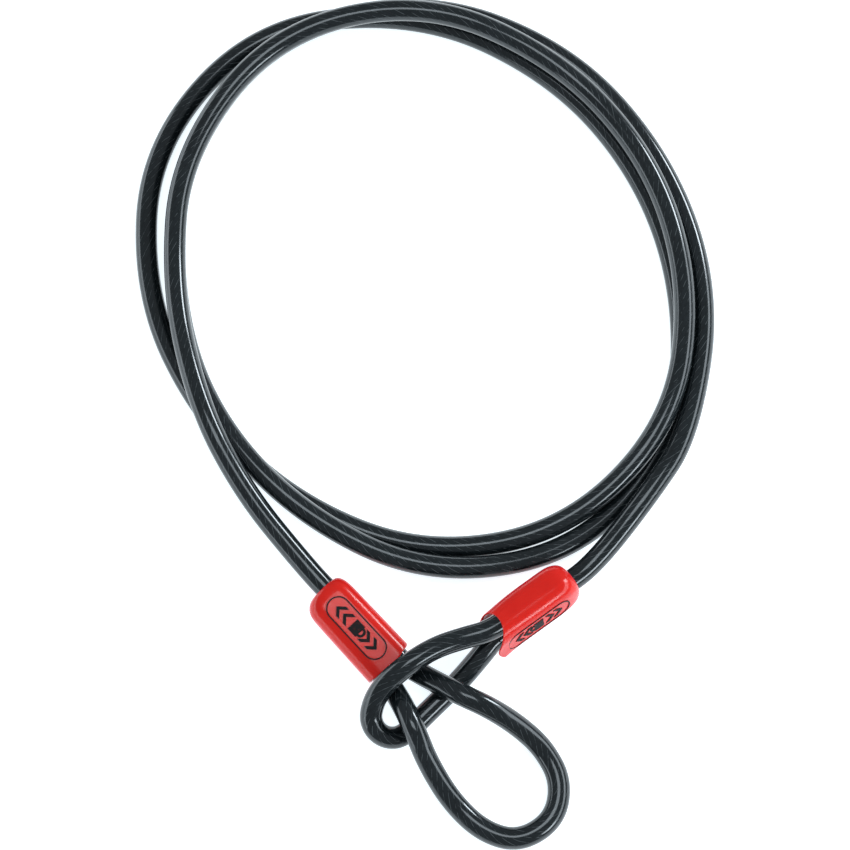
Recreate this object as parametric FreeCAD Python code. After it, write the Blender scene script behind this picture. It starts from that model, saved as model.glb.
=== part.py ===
import FreeCAD, Part
import math
import os

# Loop cable: a plastic-coated steel rope, loosely coiled, with an eye at each end.
# Each eye is closed by a pressed ferrule under a soft slip-on boot, and the left eye
# has been passed up through the right one. Millimetres, +Z up. The origin is on the
# floor under the middle of the assembly. +Y is the far side of the coil, and the
# boots and eyes lie on the near side.

Vector = FreeCAD.Vector

# ---- driving dimensions: cable ----
CABLE_DIA = 8.0            # over the jacket
ROPE_DIA = 5.4             # steel rope inside the jacket
ARC_SHARE = 0.45           # share of the shorter run that an arc takes at each corner

# ---- driving dimensions: ends ----
LEG_OFFSET = 4.02          # each eye leg, from the middle of its ferrule
BOOT_LENGTH = 35.6
BOOT_WIDTH = 18.2
BOOT_THICK = 14.4
BOOT_WALL = 0.8
BOOT_CORNER = 5.5          # corner radius of the boot's section
BOOT_DOME = 5.4            # rounding of the boot's closed end
BOOT_END_WALL = 3.0
HOLE_OFFSET = 1.8          # cable hole in the closed end, off the boot's middle
MAIN_SIDE = -1             # the side of the boot's middle on which the main leg lies
FIT_GAP = 0.3              # boot's hole to cable
LEGS_PART = 0.0            # where the two legs start to part, measured from the boot's mouth
FERRULE_START = 5.0        # ferrule's two faces
FERRULE_END = 18.0
TAIL_END = 17.0            # cut end of the tail's rope
FERRULE_WIDTH = 15.6
FERRULE_THICK = 10.4
FERRULE_EDGE = 0.8
FERRULE_FLAT = 0.02        # flat left on each narrow side of a ferrule
FIRST_BEND = 22.5          # where the cable leans over from its leg to the boot's hole
SECOND_BEND = 30.0
STRAIGHT_END = 46.0        # end of the straight stretch that the boot can slide along

# ---- printed mark on a boot's flat side ----
MARK_DEPTH = 0.2
MARK_MIDDLE = 15.8         # from the boot's mouth
CHEVRONS = 2               # on each side of the padlock sign
CHEVRON_WIDTH = 1.6
CHEVRON_ARM = 2.4
CHEVRON_START = 5.7        # first chevron, from the middle of the mark
CHEVRON_PITCH = 3.5
LOCK_WIDTH = 4.8
LOCK_LENGTH = 4.0
SHACKLE_OUTER = 1.9
SHACKLE_INNER = 1.0
FRAME_LENGTH = 27.4        # the line with half-round ends that runs round the signs
FRAME_WIDTH = 8.8
FRAME_LINE = 0.45

# ---- where the boots lie: middle of the mouth, heading and tilt of the closed end ----
LEFT_MOUTH = (-12.8, -93.3, 7.5)
LEFT_HEADING = 133.0
LEFT_TILT = 4.0
LEFT_ROLL = -4.0
RIGHT_MOUTH = (23.8, -84.7, 12.4)
RIGHT_HEADING = 36.5
RIGHT_TILT = -4.0
RIGHT_ROLL = 74.0

# ---- the loose coil: one point at each hour of a clock face, clockwise from above ----
COIL_CENTRE = (0.5, 44.0)
HOURS = 12
FIRST_HOUR = 8
# distance of each turn's points from the middle of the coil
TURN_RADII = [
    [93.5, 92.5, 104.5, 113.5, 109.5, 103.0, 97.5, 97.0, 103.0, 103.0, 98.0, 92.0],
    [93.5, 103.8, 118.8, 124.3, 112.5, 100.0, 94.0, 95.5, 106.0, 112.0, 106.5, 95.5],
    [91.5, 93.0, 106.2, 116.4, 113.3, 110.5, 104.0, 105.0, 110.0],
]
# height of each turn's points above the floor, where one turn lies over another
TURN_HEIGHTS = [
    [21.8, 14.2, 12.3, 17.5, 23.1, 12.0, 11.8, 12.8, 14.6, 5.8, 4.0, 4.0],
    [4.0, 4.0, 4.0, 4.0, 4.0, 4.0, 4.0, 4.0, 4.0, 4.0, 8.5, 12.6],
    [13.6, 5.8, 4.0, 9.5, 15.8, 4.0, 4.0, 6.0, 13.0],
]

# ---- hand-laid stretches: from the left boot to the coil, and from it to the right boot ----
LEFT_LEAD = [(-63.9, -33.4, 15.9)]
RIGHT_LEAD = [(79.5, -34.9, 13.0)]

# ---- the eyes, from the main leg's mouth round to the tail leg's mouth ----
LEFT_EYE = [
    (-6.7, -94.0, 7.2), (2.0, -99.4, 9.8), (12.5, -105.7, 15.2), (23.3, -110.4, 14.0),
    (33.7, -116.2, 8.5), (42.3, -123.4, 4.3), (48.3, -134.9, 4.0), (45.8, -148.2, 4.0),
    (33.5, -155.9, 4.0), (20.8, -152.4, 4.0), (10.0, -142.2, 4.0), (1.7, -129.4, 9.0),
    (-2.7, -119.2, 14.5), (-7.0, -109.7, 12.5), (-11.1, -102.1, 7.2),
]
RIGHT_EYE = [
    (22.0, -88.9, 8.2), (12.0, -100.2, 4.0), (0.5, -111.2, 4.0), (-7.1, -119.1, 4.0),
    (-12.9, -120.0, 5.6), (-17.5, -117.1, 8.1), (-18.9, -111.8, 10.6), (-15.3, -104.0, 16.2),
    (-5.7, -96.0, 19.2), (4.0, -89.8, 18.2), (13.9, -86.2, 16.5),
]

CLOSE = 0.01               # two places nearer than this are the same place

os.makedirs("parts", exist_ok=True)


# ---- frames of the two ends ----
def boot_axes(heading, tilt, roll):
    """The boot's own directions: along it to the closed end, across it, and out of its marked side."""
    h = math.radians(heading)
    t = math.radians(tilt)
    r = math.radians(roll)
    along = Vector(math.cos(h) * math.cos(t), math.sin(h) * math.cos(t), math.sin(t))
    level = Vector(math.sin(h), -math.cos(h), 0)
    upright = level.cross(along)
    out = upright * math.cos(r) + level * math.sin(r)
    return along, out.cross(along), out


def boot_placement(mouth, axes):
    along, across, out = axes
    matrix = FreeCAD.Matrix(
        along.x, across.x, out.x, mouth[0],
        along.y, across.y, out.y, mouth[1],
        along.z, across.z, out.z, mouth[2],
        0, 0, 0, 1)
    return FreeCAD.Placement(matrix)


def at_boot(placement, along, across):
    """A point given along and across a boot, from the middle of its mouth."""
    return placement.multVec(Vector(along, across, 0))


# ---- tubes along a route ----
def tube_wire(points, start_at=0.0, end_at=1.0):
    """Straight runs joined by tangent arcs. start_at and end_at cut the first and last run."""
    runs = [points[i + 1] - points[i] for i in range(len(points) - 1)]
    here = points[0] + runs[0] * start_at
    edges = []
    radii = []
    for i in range(1, len(points) - 1):
        before = runs[i - 1]
        after = runs[i]
        reach = ARC_SHARE * min(before.Length, after.Length)
        turn = before.getAngle(after)
        radius = reach / math.tan(turn / 2)
        radii.append(radius)
        into = Vector(before).normalize()
        away = Vector(after).normalize()
        arc_start = points[i] - into * reach
        arc_end = points[i] + away * reach
        inward = (away - into).normalize()
        centre = points[i] + inward * (radius / math.cos(turn / 2))
        arc_middle = centre - inward * radius
        edges.append(Part.LineSegment(here, arc_start).toShape())
        edges.append(Part.Arc(arc_start, arc_middle, arc_end).toShape())
        here = arc_end
    edges.append(Part.LineSegment(here, points[-2] + runs[-1] * end_at).toShape())
    return Part.Wire(edges), radii


def swept(wire, outer, inner=0.0):
    """A round bar along a wire, or a pipe where inner is given."""
    start = wire.Edges[0].valueAt(wire.Edges[0].FirstParameter)
    direction = wire.Edges[0].tangentAt(wire.Edges[0].FirstParameter)
    face = Part.Face(Part.Wire(Part.makeCircle(outer / 2, start, direction)))
    if inner > 0:
        face = face.cut(Part.Face(Part.Wire(Part.makeCircle(inner / 2, start, direction)))).Faces[0]
    return wire.makePipe(face)


def check_tube(name, wire, radii, solid, outer, inner=0.0):
    section = math.pi / 4 * (outer ** 2 - inner ** 2)
    share = solid.Volume / (section * wire.Length)
    tightest = min(radii) if radii else 0.0
    shown = " ".join("%.0f" % r for r in radii)
    print("%s: length %.1f, volume/ideal %.4f, valid %s, tightest radius %.1f" % (
        name, wire.Length, share, solid.isValid(), tightest))
    print("    radii", shown)


def export(solid, name):
    solid.exportStep("parts/%s.step" % name)


def make_cable(name, points, start_at=0.0, end_at=1.0):
    """One stretch of the cable: its jacket and the rope inside it."""
    wire, radii = tube_wire(points, start_at, end_at)
    pipe = swept(wire, CABLE_DIA, ROPE_DIA)
    check_tube(name + "_jacket", wire, radii, pipe, CABLE_DIA, ROPE_DIA)
    export(pipe, name + "_jacket")
    export(swept(wire, ROPE_DIA), name + "_rope")
    return wire.Length


# ---- coil ----
def turn_points(number):
    """The points of one turn, an hour apart."""
    step = 2 * math.pi / HOURS
    points = []
    for i, (radius, height) in enumerate(zip(TURN_RADII[number], TURN_HEIGHTS[number])):
        angle = (FIRST_HOUR + i) * step
        x = COIL_CENTRE[0] + radius * math.sin(angle)
        y = COIL_CENTRE[1] + radius * math.cos(angle)
        points.append(Vector(x, y, height))
    return points


# ---- end fittings, in the boot's own frame: X along it from the mouth, Z out of the marked side ----
def rounded_section(width, thick, corner, x):
    """A rounded rectangle across the boot at x."""
    w = width / 2 - corner
    t = thick / 2 - corner
    edges = []
    centres = [(w, t), (-w, t), (-w, -t), (w, -t)]
    for i, (cy, cz) in enumerate(centres):
        start = math.pi / 2 * i
        arc = [Vector(x, cy + corner * math.cos(start + a), cz + corner * math.sin(start + a))
               for a in (0, math.pi / 4, math.pi / 2)]
        edges.append(Part.Arc(*arc).toShape())
        ny, nz = centres[(i + 1) % 4]
        nxt = start + math.pi / 2
        line_end = Vector(x, ny + corner * math.cos(nxt), nz + corner * math.sin(nxt))
        if (line_end - arc[2]).Length > CLOSE:
            edges.append(Part.LineSegment(arc[2], line_end).toShape())
    return Part.Face(Part.Wire(edges))


def make_boot():
    """A soft sleeve, open at the mouth and domed at the end where the single cable enters."""
    outer = rounded_section(BOOT_WIDTH, BOOT_THICK, BOOT_CORNER, 0).extrude(Vector(BOOT_LENGTH, 0, 0))
    end_edges = [e for e in outer.Edges if e.BoundBox.XMin > BOOT_LENGTH - CLOSE]
    outer = outer.makeFillet(BOOT_DOME, end_edges)
    cavity_length = BOOT_LENGTH - BOOT_END_WALL
    inner = rounded_section(
        BOOT_WIDTH - 2 * BOOT_WALL, BOOT_THICK - 2 * BOOT_WALL, BOOT_CORNER - BOOT_WALL, 0)
    inner = inner.extrude(Vector(cavity_length, 0, 0))
    inner_edges = [e for e in inner.Edges if e.BoundBox.XMin > cavity_length - CLOSE]
    inner = inner.makeFillet(BOOT_DOME - BOOT_WALL, inner_edges)
    hole = Part.makeCylinder(
        CABLE_DIA / 2 + FIT_GAP, BOOT_LENGTH, Vector(BOOT_LENGTH / 2, MAIN_SIDE * HOLE_OFFSET, 0),
        Vector(1, 0, 0))
    return outer.cut(inner).cut(hole)


def make_ferrule():
    """A flat-sided metal sleeve, pressed over the two bare ropes."""
    length = FERRULE_END - FERRULE_START
    body = rounded_section(FERRULE_WIDTH, FERRULE_THICK, (FERRULE_THICK - FERRULE_FLAT) / 2, FERRULE_START)
    body = body.extrude(Vector(length, 0, 0))
    rims = [e for e in body.Edges if e.BoundBox.XLength < CLOSE]
    body = body.makeChamfer(FERRULE_EDGE, rims)
    for side in (1, -1):
        bore = Part.makeCylinder(
            ROPE_DIA / 2, length, Vector(FERRULE_START, side * LEG_OFFSET, 0), Vector(1, 0, 0))
        body = body.cut(bore)
    return body


def prism(outline):
    """A thin plate on the marked side, from an outline along and across the boot."""
    points = [Vector(x, y, BOOT_THICK / 2) for x, y in outline]
    face = Part.Face(Part.makePolygon(points + [points[0]]))
    return face.extrude(Vector(0, 0, MARK_DEPTH))


def chevron(x, direction):
    """An arrow head across the boot, its point along or against the boot's length."""
    half = CHEVRON_ARM / 2
    tip = x + direction * half
    back = x - direction * half
    inset = direction * CHEVRON_WIDTH
    return prism([(tip, 0), (back, CHEVRON_ARM), (back - inset, CHEVRON_ARM), (tip - inset, 0),
                  (back - inset, -CHEVRON_ARM), (back, -CHEVRON_ARM)])


def padlock(x):
    """A padlock sign, its shackle towards the boot's mouth."""
    back = x - LOCK_LENGTH / 2
    front = x + LOCK_LENGTH / 2
    half = LOCK_WIDTH / 2
    body = prism([(back, -half), (front, -half), (front, half), (back, half)])
    shackle_at = Vector(back, 0, BOOT_THICK / 2)
    shackle = Part.makeCylinder(SHACKLE_OUTER, MARK_DEPTH, shackle_at)
    shackle = shackle.cut(Part.makeCylinder(SHACKLE_INNER, MARK_DEPTH, shackle_at))
    return body.fuse(shackle.cut(body)).removeSplitter()


def frame_plate(inset):
    """A thin plate with half-round ends, of the frame's size less the inset."""
    top = BOOT_THICK / 2
    radius = FRAME_WIDTH / 2 - inset
    reach = (FRAME_LENGTH - FRAME_WIDTH) / 2
    plate = Part.makeBox(2 * reach, 2 * radius, MARK_DEPTH, Vector(MARK_MIDDLE - reach, -radius, top))
    for end in (MARK_MIDDLE - reach, MARK_MIDDLE + reach):
        plate = plate.fuse(Part.makeCylinder(radius, MARK_DEPTH, Vector(end, 0, top)))
    return plate.removeSplitter()


def make_mark():
    """A plain padlock sign between chevrons in a thin frame, all printed on the flat side."""
    pieces = [padlock(MARK_MIDDLE), frame_plate(0).cut(frame_plate(FRAME_LINE))]
    for side in (1, -1):
        for i in range(CHEVRONS):
            pieces.append(chevron(MARK_MIDDLE + side * (CHEVRON_START + i * CHEVRON_PITCH), side))
    return Part.makeCompound(pieces)


# ---- build ----
def make_end(name, placement):
    for piece, shape in (("boot", make_boot()), ("ferrule", make_ferrule()), ("boot_mark", make_mark())):
        shape.Placement = placement
        export(shape, "%s_%s" % (name, piece))
        print(name, piece, "volume %.1f" % shape.Volume, "valid", shape.isValid())


def eye_points(placement, middle):
    """An eye's whole route, from the ferrule's face on the main leg round to the tail leg's."""
    main = MAIN_SIDE * LEG_OFFSET
    start = [at_boot(placement, u, main) for u in (FERRULE_START, LEGS_PART)]
    end = [at_boot(placement, u, -main) for u in (LEGS_PART, FERRULE_START)]
    return start + [Vector(*p) for p in middle] + end


def bare_rope(placement, side, end):
    """The straight rope pressed into one of a ferrule's bores."""
    start = at_boot(placement, FERRULE_START, side * LEG_OFFSET)
    along = at_boot(placement, end, side * LEG_OFFSET) - start
    return Part.makeCylinder(ROPE_DIA / 2, along.Length, start, along)


def make_eye(name, placement, middle):
    """An eye's jacket, and its rope with both ends pressed into the ferrule."""
    wire, radii = tube_wire(eye_points(placement, middle))
    pipe = swept(wire, CABLE_DIA, ROPE_DIA)
    check_tube(name + "_jacket", wire, radii, pipe, CABLE_DIA, ROPE_DIA)
    export(pipe, name + "_jacket")
    rope = swept(wire, ROPE_DIA)
    rope = rope.fuse(bare_rope(placement, MAIN_SIDE, FERRULE_END))
    rope = rope.fuse(bare_rope(placement, -MAIN_SIDE, TAIL_END)).removeSplitter()
    print("    rope volume %.0f, valid %s, solids %d" % (rope.Volume, rope.isValid(), len(rope.Solids)))
    export(rope, name + "_rope")
    return wire.Length


def lead_out(placement):
    """The stretch from the ferrule through the boot's hole, out to where the cable is free."""
    leg = MAIN_SIDE * LEG_OFFSET
    hole = MAIN_SIDE * HOLE_OFFSET
    return [at_boot(placement, FERRULE_END, leg), at_boot(placement, FIRST_BEND, leg),
            at_boot(placement, SECOND_BEND, hole), at_boot(placement, STRAIGHT_END, hole)]


left_place = boot_placement(LEFT_MOUTH, boot_axes(LEFT_HEADING, LEFT_TILT, LEFT_ROLL))
right_place = boot_placement(RIGHT_MOUTH, boot_axes(RIGHT_HEADING, RIGHT_TILT, RIGHT_ROLL))
make_end("left", left_place)
make_end("right", right_place)

turns = [turn_points(i) for i in range(len(TURN_RADII))]
left_lead = lead_out(left_place) + [Vector(*p) for p in LEFT_LEAD]
right_lead = [Vector(*p) for p in RIGHT_LEAD] + lead_out(right_place)[::-1]

total = make_cable("left_lead", left_lead + turns[0][:1], end_at=0.5)
total += make_cable("coil_turn_1", left_lead[-1:] + turns[0] + turns[1][:1], 0.5, 0.5)
total += make_cable("coil_turn_2", turns[0][-1:] + turns[1] + turns[2][:1], 0.5, 0.5)
total += make_cable("coil_turn_3", turns[1][-1:] + turns[2] + right_lead[:1], 0.5, 0.5)
total += make_cable("right_lead", turns[2][-1:] + right_lead, start_at=0.5)
print("cable from ferrule to ferrule %.0f" % total)
left_eye = make_eye("left_eye", left_place, LEFT_EYE)
right_eye = make_eye("right_eye", right_place, RIGHT_EYE)
print("left eye %.0f, right eye %.0f" % (left_eye, right_eye))
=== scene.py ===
import math

import bpy
import numpy as np
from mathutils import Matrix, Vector


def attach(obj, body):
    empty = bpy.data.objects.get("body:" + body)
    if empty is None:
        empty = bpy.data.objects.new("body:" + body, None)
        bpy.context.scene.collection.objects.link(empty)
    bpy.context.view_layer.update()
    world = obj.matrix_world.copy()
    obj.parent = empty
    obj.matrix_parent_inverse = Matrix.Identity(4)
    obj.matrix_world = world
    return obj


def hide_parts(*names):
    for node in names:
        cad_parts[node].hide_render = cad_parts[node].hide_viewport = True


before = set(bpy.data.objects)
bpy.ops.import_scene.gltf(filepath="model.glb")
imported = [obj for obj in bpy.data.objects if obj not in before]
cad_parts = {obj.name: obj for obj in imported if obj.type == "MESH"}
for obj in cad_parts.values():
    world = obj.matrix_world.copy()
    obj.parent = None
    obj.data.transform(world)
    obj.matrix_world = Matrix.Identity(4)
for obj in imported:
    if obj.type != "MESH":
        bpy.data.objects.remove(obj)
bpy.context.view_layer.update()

# A loose coil of plastic-coated steel rope with an eye at each end. Metres, in the CAD model's frame.

# ---- sizes that the CAD model has too ----
CABLE_DIA = 0.008
ROPE_DIA = 0.0054
LEG_OFFSET = 0.00402
BOOT_LENGTH = 0.0356
BOOT_WIDTH = 0.0182
BOOT_THICK = 0.0144
HOLE_OFFSET = 0.0018
MAIN_SIDE = -1             # the side of the boot on which the coil's cable lies
FERRULE_START = 0.005
FERRULE_END = 0.018
FIRST_BEND = 0.0225
SECOND_BEND = 0.030
STRAIGHT_END = 0.046

# where the boots lie: middle of the mouth, and heading, tilt and roll in degrees
LEFT_END = {"mouth": (-0.0128, -0.0933, 0.0075), "heading": 133.0, "tilt": 4.0, "roll": -4.0}
RIGHT_END = {"mouth": (0.0238, -0.0847, 0.0124), "heading": 36.5, "tilt": -4.0, "roll": 74.0}

# the loose coil: one point at each hour of a clock face, clockwise from above
COIL_CENTRE = (0.0005, 0.044)
HOURS = 12
FIRST_HOUR = 8
TURN_RADII = [
    [0.0935, 0.0925, 0.1045, 0.1135, 0.1095, 0.103, 0.0975, 0.097, 0.103, 0.103, 0.098, 0.092],
    [0.0935, 0.1038, 0.1188, 0.1243, 0.1125, 0.1, 0.094, 0.0955, 0.106, 0.112, 0.1065, 0.0955],
    [0.0915, 0.093, 0.1062, 0.1164, 0.1133, 0.1105, 0.104, 0.105, 0.11],
]
TURN_HEIGHTS = [
    [0.0218, 0.0142, 0.0123, 0.0175, 0.0231, 0.012, 0.0118, 0.0128, 0.0146, 0.0058, 0.004, 0.004],
    [0.004, 0.004, 0.004, 0.004, 0.004, 0.004, 0.004, 0.004, 0.004, 0.004, 0.0085, 0.0126],
    [0.0136, 0.0058, 0.004, 0.0095, 0.0158, 0.004, 0.004, 0.006, 0.013],
]
LEFT_LEAD = [(-0.0639, -0.0334, 0.0159)]
RIGHT_LEAD = [(0.0795, -0.0349, 0.013)]
LEFT_EYE = [
    (-0.0067, -0.094, 0.0072), (0.002, -0.0994, 0.0098), (0.0125, -0.1057, 0.0152),
    (0.0233, -0.1104, 0.014), (0.0337, -0.1162, 0.0085), (0.0423, -0.1234, 0.0043),
    (0.0483, -0.1349, 0.004), (0.0458, -0.1482, 0.004), (0.0335, -0.1559, 0.004),
    (0.0208, -0.1524, 0.004), (0.01, -0.1422, 0.004), (0.0017, -0.1294, 0.009),
    (-0.0027, -0.1192, 0.0145), (-0.007, -0.1097, 0.0125), (-0.0111, -0.1021, 0.0072),
]
RIGHT_EYE = [
    (0.022, -0.0889, 0.0082), (0.012, -0.1002, 0.004), (0.0005, -0.1112, 0.004),
    (-0.0071, -0.1191, 0.004), (-0.0129, -0.12, 0.0056), (-0.0175, -0.1171, 0.0081),
    (-0.0189, -0.1118, 0.0106), (-0.0153, -0.104, 0.0162), (-0.0057, -0.096, 0.0192),
    (0.004, -0.0898, 0.0182), (0.0139, -0.0862, 0.0165),
]

# ---- detail of the cable that only the visible model has ----
ROPE_LAY = 0.048           # length in which a strand goes once round
STRANDS = 6
STRAND_DIA = 0.0018
JACKET_SIDES = 28          # sides of a jacket's mesh
STRAND_SIDES = 8
ROUTE_STEPS = 16           # follow points on each span of a route
CABLE_MAP = "cable"        # a tube's map: turns round it, and metres along it

# ---- detail of the boots that only the visible model has ----
BOOT_STEPS = 72            # points round a boot's section
BOOT_CORNER = 0.0055       # corner radius of the section
BOOT_WALL = 0.0007
DOME_WALL = BOOT_WALL * 2.4
HOLE_RADIUS = 0.0043
BODY_RINGS = [0.0003, 0.001, 0.002, 0.0035, 0.005, 0.007, 0.009, 0.012, 0.016, 0.020, 0.025]
BODY_END = 0.0008          # from the last ring of the body outside to the dome
BODY_END_INSIDE = 0.002
DOME_STEPS = 12            # rings from the body to the hole, over a quarter turn
DOME_SQUARENESS = 0.9      # below 1, the dome keeps the section's shape for longer
HOLE_LIP = [(0.0001, 0.00035), (0.0005, 0.0), (0.0020, 0.0), (0.0028, 0.0002)]  # depth, and extra radius
RIM_SHOULDER = 0.35        # the rim's rounded shoulders: how far in from the face, in half walls,
RIM_ROUNDING = 0.00008     # and how far they stand back from the rim's crest
FLARE_DEPTH = 0.009        # how far in from the mouth the flare reaches
FADE_DEPTH = 0.016         # how far in the mouth's other shapes reach
FADE_POWER = 1.5
DIP_POWER = 2.2
LIP_POWER = 2.5
SLANT_POWER = 4

# Each boot's own shape. At the mouth: flare of the marked side, dip of the two narrow sides, pinch of the
# back, slant of one narrow side, and lips on the marked side and the back. Then the widening towards the
# mouth, a shift of the whole boot along itself, and the dome's length.
LEFT_SHAPE = {"flare": 0.0, "dip": 0.0, "pinch": 0.0, "slant": 0.0008, "lip": 0.0018, "back_lip": 0.0,
              "taper": 0.0005, "shift": -0.0010, "dome": 0.0062}
RIGHT_SHAPE = {"flare": 0.0006, "dip": 0.0040, "pinch": 0.0012, "slant": 0.0, "lip": 0.0022,
               "back_lip": 0.0012, "taper": 0.0003, "shift": 0.0, "dome": 0.0080}

# ---- colours: linear red, green, blue, and opacity ----
SMOKE_DARK = (0.0060, 0.0090, 0.0105, 1.0)
SMOKE_LIGHT = (0.0100, 0.0140, 0.0160, 1.0)
# painted shade in the grooves between the strands
SMOKE_GROOVE_SHADE = (0.003, 0.0045, 0.0052, 1.0)
# painted highlight: the glint along each strand's crown
STRAND_GLINT = (0.085, 0.098, 0.105, 1.0)
ZINC = (0.42, 0.43, 0.44, 1.0)
GREASE = (0.2, 0.2, 0.2, 1.0)
ALUMINIUM = (0.62, 0.63, 0.64, 1.0)
STAINED_ALUMINIUM = (0.45, 0.46, 0.47, 1.0)
RED = (0.73, 0.014, 0.008, 1.0)
LIGHT_RED = (0.79, 0.018, 0.010, 1.0)
DARK_RED = (0.56, 0.012, 0.008, 1.0)
PINK_SHEEN = (1.0, 0.12, 0.4, 1.0)
INK = (0.014, 0.013, 0.014, 1.0)
THIN_INK = (0.075, 0.016, 0.014, 1.0)
PALE = (0.8, 0.8, 0.8, 1.0)
COOL_GLOSS = (0.88, 0.95, 1.0, 1.0)
COOL_FLOOR = (0.86, 0.95, 1.0, 1.0)
COOL_LIGHT = (0.90, 0.96, 1.0)

# ---- camera ----
CAMERA_TARGET = (0.0005, -0.0044, 0.0)
CAMERA_TILT = 15.0         # degrees from straight down, towards the near side
CAMERA_DISTANCE = 0.955
CAMERA_LENS = 110.8        # millimetres, as the sensor's width is
SENSOR_WIDTH = 36.0
CLIP_START = 0.01

# ---- stage ----
FLOOR_HALF = 3.0
FLOOR_DROP = 0.00005       # keeps the floor clear of the cable that lies on it
FLOOR_GLOW = 0.92
WORLD_GLOW = 0.3
LIGHTS = [                 # name, place, width, height, and radiance
    ("right_softbox", (1.05, 0.0, 0.60), 2.4, 0.40, 4.0),
    ("left_softbox", (-1.15, 0.0, 0.22), 2.4, 0.40, 2.6),
    ("overhead_light", (0.0, 0.05, 1.08), 0.50, 0.34, 3.8),
    ("key_light", (0.90, 0.78, 0.53), 0.32, 0.24, 17.0),
    ("front_softbox", (0.85, -0.82, 0.55), 0.40, 0.26, 6.0),
]


# ------------------------------------------------------------------ camera
def make_camera():
    data = bpy.data.cameras.new("camera")
    data.lens = CAMERA_LENS
    data.sensor_width = SENSOR_WIDTH
    data.clip_start = CLIP_START
    camera = bpy.data.objects.new("camera", data)
    tilt = math.radians(CAMERA_TILT)
    offset = Vector((0, -math.sin(tilt), math.cos(tilt))) * CAMERA_DISTANCE
    camera.location = Vector(CAMERA_TARGET) + offset
    camera.rotation_euler = (tilt, 0, 0)
    bpy.context.scene.collection.objects.link(camera)
    bpy.context.scene.camera = camera


# ------------------------------------------------------------------ frames of the two ends
def boot_axes(end):
    """The boot's own directions: along it to the closed end, across it, and out of its marked side."""
    heading = math.radians(end["heading"])
    tilt = math.radians(end["tilt"])
    roll = math.radians(end["roll"])
    along = Vector((math.cos(heading) * math.cos(tilt), math.sin(heading) * math.cos(tilt), math.sin(tilt)))
    level = Vector((math.sin(heading), -math.cos(heading), 0))
    upright = level.cross(along)
    out = upright * math.cos(roll) + level * math.sin(roll)
    return along, out.cross(along), out


def at_boot(end, u, v=0.0, w=0.0):
    """A point given along, across and out of a boot, from the middle of its mouth."""
    along, across, out = boot_axes(end)
    return Vector(end["mouth"]) + along * u + across * v + out * w


# ------------------------------------------------------------------ routes
def turn_points(radii, heights):
    points = []
    for hour, (radius, height) in enumerate(zip(radii, heights), start=FIRST_HOUR):
        angle = hour * 2 * math.pi / HOURS
        points.append((COIL_CENTRE[0] + radius * math.sin(angle),
                       COIL_CENTRE[1] + radius * math.cos(angle), height))
    return points


def lead_out(end):
    """From the ferrule through the boot's hole, out to where the cable is free."""
    leg = MAIN_SIDE * LEG_OFFSET
    hole = MAIN_SIDE * HOLE_OFFSET
    return [at_boot(end, FERRULE_END, leg), at_boot(end, FIRST_BEND, leg),
            at_boot(end, SECOND_BEND, hole), at_boot(end, STRAIGHT_END, hole)]


def cable_route():
    route = lead_out(LEFT_END) + LEFT_LEAD
    for radii, heights in zip(TURN_RADII, TURN_HEIGHTS):
        route += turn_points(radii, heights)
    return route + RIGHT_LEAD + lead_out(RIGHT_END)[::-1]


def eye_route(end, middle):
    main = MAIN_SIDE * LEG_OFFSET
    start = [at_boot(end, FERRULE_START, main), at_boot(end, 0, main)]
    finish = [at_boot(end, 0, -main), at_boot(end, FERRULE_START, -main)]
    return start + middle + finish


def follow_points(name, route):
    """Points along the smooth NURBS line that has the route's points as its control points."""
    curve = bpy.data.curves.new(name, "CURVE")
    curve.dimensions = "3D"
    spline = curve.splines.new("NURBS")
    spline.points.add(len(route) - 1)
    for point, place in zip(spline.points, route):
        point.co = (*place, 1.0)
    spline.order_u = 3
    spline.use_endpoint_u = True
    spline.resolution_u = ROUTE_STEPS
    holder = bpy.data.objects.new(name, curve)
    bpy.context.scene.collection.objects.link(holder)
    bpy.context.view_layer.update()
    evaluated = holder.evaluated_get(bpy.context.evaluated_depsgraph_get())
    mesh = bpy.data.meshes.new_from_object(evaluated)
    points = np.array([v.co for v in mesh.vertices])
    bpy.data.objects.remove(holder)
    bpy.data.meshes.remove(mesh)
    return points


class Path:
    """A line of follow points with a frame at each that doesn't twist along it."""

    def __init__(self, points):
        self.points = points
        steps = np.linalg.norm(np.diff(points, axis=0), axis=1)
        self.along = np.concatenate([[0.0], np.cumsum(steps)])
        self.length = float(self.along[-1])
        tangent = np.gradient(points, self.along, axis=0)
        self.tangent = tangent / np.linalg.norm(tangent, axis=1)[:, None]
        side = np.zeros_like(points)
        here = np.cross(self.tangent[0], (0.0, 0.0, 1.0))
        for i, direction in enumerate(self.tangent):
            here = here - direction * np.dot(here, direction)
            here = here / np.linalg.norm(here)
            side[i] = here
        self.up = np.cross(side, self.tangent)

    def ring(self, angle, radius):
        """Points round the line at one angle, which may differ along it."""
        c = np.cos(angle)[:, None]
        s = np.sin(angle)[:, None]
        return self.points + radius * (self.up * c + np.cross(self.tangent, self.up) * s)


# ------------------------------------------------------------------ tubes
def tube_points(line, radius, sides):
    """Points of a tube's wall, ring by ring."""
    angles = np.arange(sides) * 2 * math.pi / sides
    count = len(line.points)
    rings = np.stack([line.ring(np.full(count, a), radius) for a in angles], axis=1)
    return rings.reshape(-1, 3)


def wall_faces(line, sides, first, inward):
    """Faces of one wall whose points start at first, with their map."""
    faces = []
    chart = []
    for i in range(len(line.points) - 1):
        here = first + i * sides
        there = here + sides
        for k in range(sides):
            n = (k + 1) % sides
            face = [here + k, here + n, there + n, there + k]
            spots = [(k / sides, line.along[i]), ((k + 1) / sides, line.along[i]),
                     ((k + 1) / sides, line.along[i + 1]), (k / sides, line.along[i + 1])]
            faces.append(face[::-1] if inward else face)
            chart.extend(spots[::-1] if inward else spots)
    return faces, chart


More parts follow.
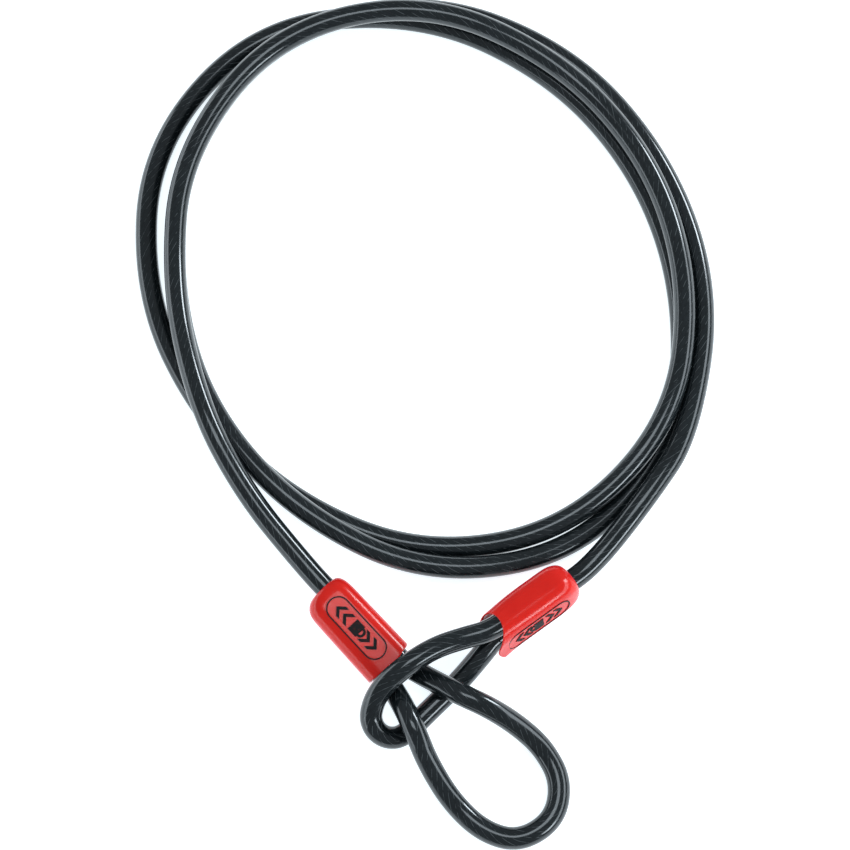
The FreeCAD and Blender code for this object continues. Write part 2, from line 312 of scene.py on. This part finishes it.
def end_faces(line, sides, i, inner):
    """Faces that close the tube at follow point i: an annulus out to the inner wall's points, or a cap."""
    first = i * sides
    if inner is None:
        loop = [first + k for k in range(sides)]
        faces = [loop[::-1] if i == 0 else loop]
    else:
        faces = []
        for k in range(sides):
            n = (k + 1) % sides
            face = [first + k, inner + first + k, inner + first + n, first + n]
            faces.append(face if i == 0 else face[::-1])
    corners = sum(len(face) for face in faces)
    return faces, [(0.0, line.along[i])] * corners


def tube_mesh(name, line, radius, sides, bore=None):
    """A round bar along a line, or a pipe where bore is given."""
    verts = tube_points(line, radius, sides)
    inner = None
    parts = [wall_faces(line, sides, 0, False)]
    if bore is not None:
        inner = len(verts)
        verts = np.concatenate([verts, tube_points(line, bore, sides)])
        parts.append(wall_faces(line, sides, inner, True))
    for i in (0, len(line.points) - 1):
        parts.append(end_faces(line, sides, i, inner))
    faces = [face for part in parts for face in part[0]]
    chart = [spot for part in parts for spot in part[1]]
    mesh = new_mesh(name, verts, faces)
    layer = mesh.uv_layers.new(name=CABLE_MAP)
    layer.data.foreach_set("uv", np.array(chart, dtype=np.float32).ravel())
    return mesh


def new_mesh(name, verts, faces):
    """A smooth-shaded mesh."""
    mesh = bpy.data.meshes.new(name)
    mesh.from_pydata([tuple(v) for v in verts], [], faces)
    mesh.polygons.foreach_set("use_smooth", [True] * len(mesh.polygons))
    mesh.update()
    return mesh


def add_object(name, mesh, material):
    made = bpy.data.objects.new(name, mesh)
    bpy.context.scene.collection.objects.link(made)
    mesh.materials.append(material)
    return made


def merged_mesh(name, meshes):
    """Several meshes as one."""
    parts = [bpy.data.objects.new(name, m) for m in meshes]
    for part in parts:
        bpy.context.scene.collection.objects.link(part)
    with bpy.context.temp_override(active_object=parts[0], selected_editable_objects=parts):
        bpy.ops.object.join()
    joined = parts[0].data
    bpy.data.objects.remove(parts[0])
    return joined


def rope_mesh(name, line):
    """Six strands laid round a core."""
    centre = (ROPE_DIA - STRAND_DIA) / 2
    meshes = [tube_mesh(name, line, STRAND_DIA / 2, STRAND_SIDES)]
    for k in range(STRANDS):
        angle = 2 * math.pi * (k / STRANDS + line.along / ROPE_LAY)
        strand = Path(line.ring(angle, centre))
        meshes.append(tube_mesh(name, strand, STRAND_DIA / 2, STRAND_SIDES))
    return merged_mesh(name, meshes)


# ------------------------------------------------------------------ materials
class Nodes:
    """A material's node tree, with short ways to add and join nodes."""

    def __init__(self, name):
        self.material = bpy.data.materials.new(name)
        self.material.use_nodes = True
        self.tree = self.material.node_tree
        self.shader = self.tree.nodes["Principled BSDF"]

    def add(self, kind, **settings):
        node = self.tree.nodes.new(kind)
        for key, value in settings.items():
            setattr(node, key, value)
        return node

    def link(self, source, target):
        self.tree.links.new(source, target)

    def drive(self, socket, source):
        """Joins a node's output to one of the shader's sockets."""
        self.link(source, self.shader.inputs[socket])

    def set(self, **values):
        for key, value in values.items():
            self.shader.inputs[key.replace("_", " ")].default_value = value

    def maths(self, operation, first, second=0.0, third=0.0):
        node = self.add("ShaderNodeMath", operation=operation)
        for socket, value in zip(node.inputs, (first, second, third)):
            if isinstance(value, (int, float)):
                socket.default_value = value
            else:
                self.link(value, socket)
        return node.outputs[0]

    def noise(self, vector, scale, detail=3.0, roughness=0.5):
        """Noise of about scale lumps in a metre."""
        node = self.add("ShaderNodeTexNoise")
        node.inputs["Scale"].default_value = scale
        node.inputs["Detail"].default_value = detail
        node.inputs["Roughness"].default_value = roughness
        self.link(vector, node.inputs["Vector"])
        return node.outputs["Fac"]

    def steps(self, value, low, high, to_low=0.0, to_high=1.0):
        """A smooth step from to_low to to_high, as the value goes from low to high."""
        node = self.add("ShaderNodeMapRange", interpolation_type="SMOOTHSTEP")
        self.link(value, node.inputs["Value"])
        node.inputs["From Min"].default_value = low
        node.inputs["From Max"].default_value = high
        node.inputs["To Min"].default_value = to_low
        node.inputs["To Max"].default_value = to_high
        return node.outputs["Result"]

    def mixed(self, share, first, second):
        """Share of the second colour in the first."""
        node = self.add("ShaderNodeMix", data_type="RGBA")
        self.link(share, node.inputs["Factor"])
        for socket, value in ((node.inputs["A"], first), (node.inputs["B"], second)):
            if isinstance(value, tuple):
                socket.default_value = value
            else:
                self.link(value, socket)
        return node.outputs["Result"]

    def bump(self, height, distance, under=None):
        """A bump of that many metres, over the normal of another where one is under it."""
        node = self.add("ShaderNodeBump")
        node.inputs["Strength"].default_value = 1.0
        node.inputs["Distance"].default_value = distance
        self.link(height, node.inputs["Height"])
        if under is not None:
            self.link(under, node.inputs["Normal"])
        return node.outputs["Normal"]

    def place(self):
        return self.add("ShaderNodeTexCoord").outputs["Object"]

    def cable_map(self):
        """Turns round a tube, and metres along it."""
        chart = self.add("ShaderNodeUVMap", uv_map=CABLE_MAP).outputs["UV"]
        split = self.add("ShaderNodeSeparateXYZ")
        self.link(chart, split.inputs[0])
        return split.outputs["X"], split.outputs["Y"]


def jacket_material():
    """Smoke-coloured clear plastic, with the rope's strands painted on it: painted highlight lines, each in
    a band of painted shade.
    """
    m = Nodes("smoke_jacket")
    turns, along = m.cable_map()
    place = m.place()
    # phase 0 to 1 across each strand, on the rope's helix
    lay = m.maths("MULTIPLY", along, STRANDS / ROPE_LAY)
    phase = m.maths("SUBTRACT", m.maths("MULTIPLY", turns, STRANDS), lay)
    wobble = m.noise(place, 300.0)
    phase = m.maths("MULTIPLY_ADD", wobble, 0.12, phase)
    # painted highlight: a line of light on each strand's crown, and another where it meets the next strand,
    # each in a wider band of painted shade
    lines = m.maths("FRACT", m.maths("MULTIPLY", phase, 2.0))
    from_line = m.maths("ABSOLUTE", m.maths("SUBTRACT", lines, 0.5))
    crown = m.steps(from_line, 0.0, 0.11, 1.0, 0.0)
    # painted shade: a wider darker band round each line
    groove_shade = m.steps(from_line, 0.10, 0.30, 1.0, 0.0)
    broken = m.steps(m.noise(place, 380.0, 2.0), 0.38, 0.62)
    # painted highlight lines, broken up by noise
    glint = m.maths("MULTIPLY", crown, broken)
    cloudy = m.steps(m.noise(place, 90.0, 4.0), 0.3, 0.7)
    base = m.mixed(cloudy, SMOKE_DARK, SMOKE_LIGHT)
    dark = m.mixed(m.maths("MULTIPLY", groove_shade, 0.6), base, SMOKE_GROOVE_SHADE)
    m.drive("Base Color", m.mixed(m.maths("MULTIPLY", glint, 0.9), dark, STRAND_GLINT))
    scuffs = m.noise(place, 700.0, 5.0, 0.65)
    m.drive("Roughness", m.steps(scuffs, 0.35, 0.75, 0.12, 0.17))
    ripple = m.noise(place, 45.0, 1.0)
    m.drive("Normal", m.bump(ripple, 0.00003))
    m.set(Specular_Tint=COOL_GLOSS, Coat_Weight=0.3, Coat_Roughness=0.05, IOR=1.5)
    return m.material


def steel_material():
    """Bright drawn steel wires, with the colour of zinc and a trace of grease."""
    m = Nodes("rope_steel")
    turns, along = m.cable_map()
    wire_lay = 220.0           # wires crossed in a metre
    wires_round = 6.0
    turned = m.maths("MULTIPLY_ADD", along, wire_lay, m.maths("MULTIPLY", turns, wires_round))
    from_wire = m.maths("ABSOLUTE", m.maths("SUBTRACT", m.maths("FRACT", turned), 0.5))
    grime = m.steps(m.noise(m.place(), 300.0), 0.35, 0.7)
    m.drive("Base Color", m.mixed(grime, ZINC, GREASE))
    m.drive("Roughness", m.steps(grime, 0.0, 1.0, 0.28, 0.5))
    m.drive("Normal", m.bump(m.steps(from_wire, 0.05, 0.5, 1.0, 0.0), 0.00015))
    m.set(Metallic=1.0)
    return m.material


def ferrule_material():
    """Tumbled aluminium with drawing lines and a few dents from the press."""
    m = Nodes("ferrule_aluminium")
    place = m.place()
    stretched = m.add("ShaderNodeMapping")
    stretched.inputs["Scale"].default_value = (1.0, 1.0, 6.0)
    m.link(place, stretched.inputs["Vector"])
    lines = m.noise(stretched.outputs["Vector"], 900.0, 4.0, 0.6)
    stain = m.steps(m.noise(place, 200.0), 0.3, 0.7)
    m.drive("Base Color", m.mixed(stain, ALUMINIUM, STAINED_ALUMINIUM))
    m.drive("Roughness", m.steps(lines, 0.3, 0.7, 0.28, 0.46))
    dents = m.bump(m.noise(place, 160.0, 1.0), 0.0004)
    m.drive("Normal", m.bump(lines, 0.00006, under=dents))
    m.set(Metallic=1.0)
    return m.material


def boot_material():
    """Glossy soft plastic, a little uneven in colour, with faint waves and a fine moulding texture."""
    m = Nodes("boot_soft_plastic")
    place = m.place()
    cloudy = m.steps(m.noise(place, 70.0, 4.0), 0.3, 0.7)
    specks = m.steps(m.noise(place, 1500.0, 2.0), 0.62, 0.75)
    base = m.mixed(cloudy, RED, LIGHT_RED)
    m.drive("Base Color", m.mixed(m.maths("MULTIPLY", specks, 0.15), base, DARK_RED))
    m.drive("Roughness", m.steps(m.noise(place, 500.0, 4.0), 0.3, 0.75, 0.17, 0.24))
    waves = m.bump(m.noise(place, 90.0, 1.0), 0.00010)
    m.drive("Normal", m.bump(m.noise(place, 2200.0, 3.0), 0.000006, under=waves))
    m.set(Specular_IOR_Level=0.30, Coat_Weight=0.12, Coat_Roughness=0.12)
    m.set(Subsurface_Weight=0.1, Subsurface_Scale=0.002, Subsurface_Radius=(1.0, 0.25, 0.15))
    m.set(Sheen_Weight=0.25, Sheen_Roughness=0.35, Sheen_Tint=PINK_SHEEN)
    return m.material


def ink_material():
    """Black printing ink, thin enough in places to let a little red through."""
    m = Nodes("mark_ink")
    place = m.place()
    thin = m.steps(m.noise(place, 900.0, 4.0), 0.52, 0.8)
    m.drive("Base Color", m.mixed(thin, INK, THIN_INK))
    m.drive("Roughness", m.steps(m.noise(place, 1800.0), 0.3, 0.7, 0.5, 0.7))
    m.drive("Normal", m.bump(m.noise(place, 2500.0), 0.00001))
    m.set(Specular_IOR_Level=0.15)
    return m.material


def floor_material():
    m = Nodes("floor")
    m.set(Base_Color=PALE, Roughness=0.9, Specular_IOR_Level=0.1)
    m.set(Emission_Color=COOL_FLOOR, Emission_Strength=FLOOR_GLOW)
    return m.material


# ------------------------------------------------------------------ boots
def section_point(half_width, half_thick, corner, angle):
    """Where a ray from the middle meets a rounded rectangle."""
    c = math.cos(angle)
    s = math.sin(angle)
    side = half_width - corner
    top = half_thick - corner
    if abs(s) * side >= abs(c) * half_thick:
        reach = half_thick / abs(s)
    elif abs(c) * top >= abs(s) * half_width:
        reach = half_width / abs(c)
    else:
        middle = abs(c) * side + abs(s) * top
        reach = middle + math.sqrt(middle ** 2 - side ** 2 - top ** 2 + corner ** 2)
    return reach * c, reach * s


def body_point(shape, u, inset, back, angle):
    """A point of the body's wall, given along, across and out. Back moves it away from the rim."""
    marked_side = math.sin(angle) > 0
    flare = shape["flare"] * max(0.0, 1 - u / FLARE_DEPTH) ** 2
    fade = max(0.0, 1 - u / FADE_DEPTH) ** FADE_POWER
    width = BOOT_WIDTH / 2 + shape["taper"] * (1 - u / BOOT_LENGTH) - inset
    thick = BOOT_THICK / 2 - inset + (flare if marked_side else -shape["pinch"] * fade)
    v, w = section_point(width, thick, BOOT_CORNER - inset, angle)
    dip = shape["dip"] * abs(math.cos(angle)) ** DIP_POWER
    slant = shape["slant"] * ((1 - math.cos(angle)) / 2) ** SLANT_POWER
    lip = shape["lip"] if marked_side else shape["back_lip"]
    lip *= abs(math.sin(angle)) ** LIP_POWER
    return u + back + (dip + slant - lip) * fade + shape["shift"], v, w


def dome_point(shape, share, inset, angle):
    """A point of the domed end's wall, from the body at share 0 to the hole at share 1."""
    v, w = section_point(BOOT_WIDTH / 2 - inset, BOOT_THICK / 2 - inset, BOOT_CORNER - inset, angle)
    hole_v = MAIN_SIDE * HOLE_OFFSET + HOLE_RADIUS * math.cos(angle)
    hole_w = HOLE_RADIUS * math.sin(angle)
    fan = math.cos(share * math.pi / 2) ** DOME_SQUARENESS
    rise = math.sin(share * math.pi / 2)
    u = BOOT_LENGTH - shape["dome"] + (shape["dome"] - inset) * rise + shape["shift"]
    return u, hole_v + (v - hole_v) * fan, hole_w + (w - hole_w) * fan


def hole_point(shape, depth, grow, angle):
    """A point of the hole's wall, at a depth below the closed end."""
    radius = HOLE_RADIUS + grow
    v = MAIN_SIDE * HOLE_OFFSET + radius * math.cos(angle)
    return BOOT_LENGTH - depth + shape["shift"], v, radius * math.sin(angle)


def boot_rings(shape):
    """A boot's rings from the rim of its mouth out over the closed end, through the hole and back inside.

    Each ring is the function that makes its points, with the function's own settings."""
    straight = BOOT_LENGTH - shape["dome"]
    rim = BOOT_WALL / 2
    rings = [(body_point, 0.0, rim, 0.0), (body_point, 0.0, rim * RIM_SHOULDER, RIM_ROUNDING)]
    rings += [(body_point, u, 0.0, 0.0) for u in BODY_RINGS]
    rings.append((body_point, straight - BODY_END, 0.0, 0.0))
    rings += [(dome_point, i / DOME_STEPS, 0.0) for i in range(1, DOME_STEPS)]
    rings += [(hole_point, depth, grow) for depth, grow in HOLE_LIP]
    rings += [(dome_point, i / DOME_STEPS, DOME_WALL) for i in range(DOME_STEPS - 2, 0, -2)]
    rings.append((body_point, straight - BODY_END_INSIDE, BOOT_WALL, 0.0))
    rings += [(body_point, u, BOOT_WALL, 0.0) for u in BODY_RINGS[::-1]]
    rings.append((body_point, 0.0, BOOT_WALL - rim * RIM_SHOULDER, RIM_ROUNDING))
    return rings


def boot_mesh(name, end, shape):
    """A boot's wall as one closed band of rings."""
    rings = boot_rings(shape)
    verts = []
    for make_point, *settings in rings:
        for k in range(BOOT_STEPS):
            angle = 2 * math.pi * k / BOOT_STEPS
            verts.append(at_boot(end, *make_point(shape, *settings, angle)))
    faces = []
    for i in range(len(rings)):
        here = i * BOOT_STEPS
        there = (i + 1) % len(rings) * BOOT_STEPS
        for k in range(BOOT_STEPS):
            n = (k + 1) % BOOT_STEPS
            faces.append((here + k, here + n, there + n, there + k))
    return new_mesh(name, verts, faces)


def subdivide(piece):
    """Subdivides a piece once and keeps the result as its mesh."""
    modifier = piece.modifiers.new("finer", "SUBSURF")
    modifier.levels = 1
    bpy.context.view_layer.update()
    evaluated = piece.evaluated_get(bpy.context.evaluated_depsgraph_get())
    mesh = bpy.data.meshes.new_from_object(evaluated)
    old = piece.data
    piece.modifiers.clear()
    piece.data = mesh
    bpy.data.meshes.remove(old)


# ------------------------------------------------------------------ stage
def add_light(name, place, width, height, radiance):
    """A rectangle of light that faces the origin."""
    data = bpy.data.lights.new(name, "AREA")
    data.shape = "RECTANGLE"
    data.size = width
    data.size_y = height
    data.energy = radiance * math.pi * width * height
    data.color = COOL_LIGHT
    light = bpy.data.objects.new(name, data)
    light.location = place
    light.rotation_euler = (-Vector(place)).to_track_quat("-Z", "Y").to_euler()
    bpy.context.scene.collection.objects.link(light)


def make_floor():
    mesh = bpy.data.meshes.new("floor")
    half = FLOOR_HALF
    corners = [(-half, -half, 0), (half, -half, 0), (half, half, 0), (-half, half, 0)]
    mesh.from_pydata(corners, [], [(0, 1, 2, 3)])
    floor = add_object("floor", mesh, floor_material())
    floor.location.z = -FLOOR_DROP


def make_world():
    world = bpy.data.worlds.new("studio")
    world.use_nodes = True
    background = world.node_tree.nodes["Background"]
    background.inputs["Color"].default_value = COOL_GLOSS
    background.inputs["Strength"].default_value = WORLD_GLOW
    bpy.context.scene.world = world
    view = bpy.context.scene.view_settings
    view.view_transform = "Standard"
    view.look = "None"


# ------------------------------------------------------------------ pieces
def make_cable(name, route, stretches, jacket, steel):
    """One free cable: its jacket, and the rope in it. It stands for those stretches' CAD solids."""
    line = Path(follow_points(name + "_route", route))
    pipe = tube_mesh(name + "_jacket", line, CABLE_DIA / 2, JACKET_SIDES, bore=ROPE_DIA / 2)
    tube = add_object(name + "_jacket", pipe, jacket)
    rope = add_object(name + "_rope", rope_mesh(name + "_rope", line), steel)
    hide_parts(*[s + "_jacket" for s in stretches])
    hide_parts(*[s + "_rope" for s in stretches])
    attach(tube, "cable")
    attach(rope, "cable")


def make_boot(side, end, shape, plastic):
    boot = add_object(side + "_sleeve", boot_mesh(side + "_sleeve", end, shape), plastic)
    subdivide(boot)
    boot.visible_glossy = False    # keeps its red off the glossy cable beside it
    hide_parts(side + "_boot")
    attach(boot, side + "_boot")


def finish_node(node, material):
    """Gives a CAD node's object its finished material."""
    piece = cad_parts[node]
    piece.data.materials.clear()
    piece.data.materials.append(material)


make_camera()

jacket = jacket_material()
steel = steel_material()
coil_stretches = ["left_lead", "coil_turn_1", "coil_turn_2", "coil_turn_3", "right_lead"]
make_cable("main", cable_route(), coil_stretches, jacket, steel)
make_cable("near_eye", eye_route(LEFT_END, LEFT_EYE), ["left_eye"], jacket, steel)
make_cable("far_eye", eye_route(RIGHT_END, RIGHT_EYE), ["right_eye"], jacket, steel)

plastic = boot_material()
make_boot("left", LEFT_END, LEFT_SHAPE, plastic)
make_boot("right", RIGHT_END, RIGHT_SHAPE, plastic)

metal = ferrule_material()
ink = ink_material()
for side in ("left", "right"):
    finish_node(side + "_ferrule", metal)
    finish_node(side + "_boot_mark", ink)

make_floor()
make_world()
for light in LIGHTS:
    add_light(*light)
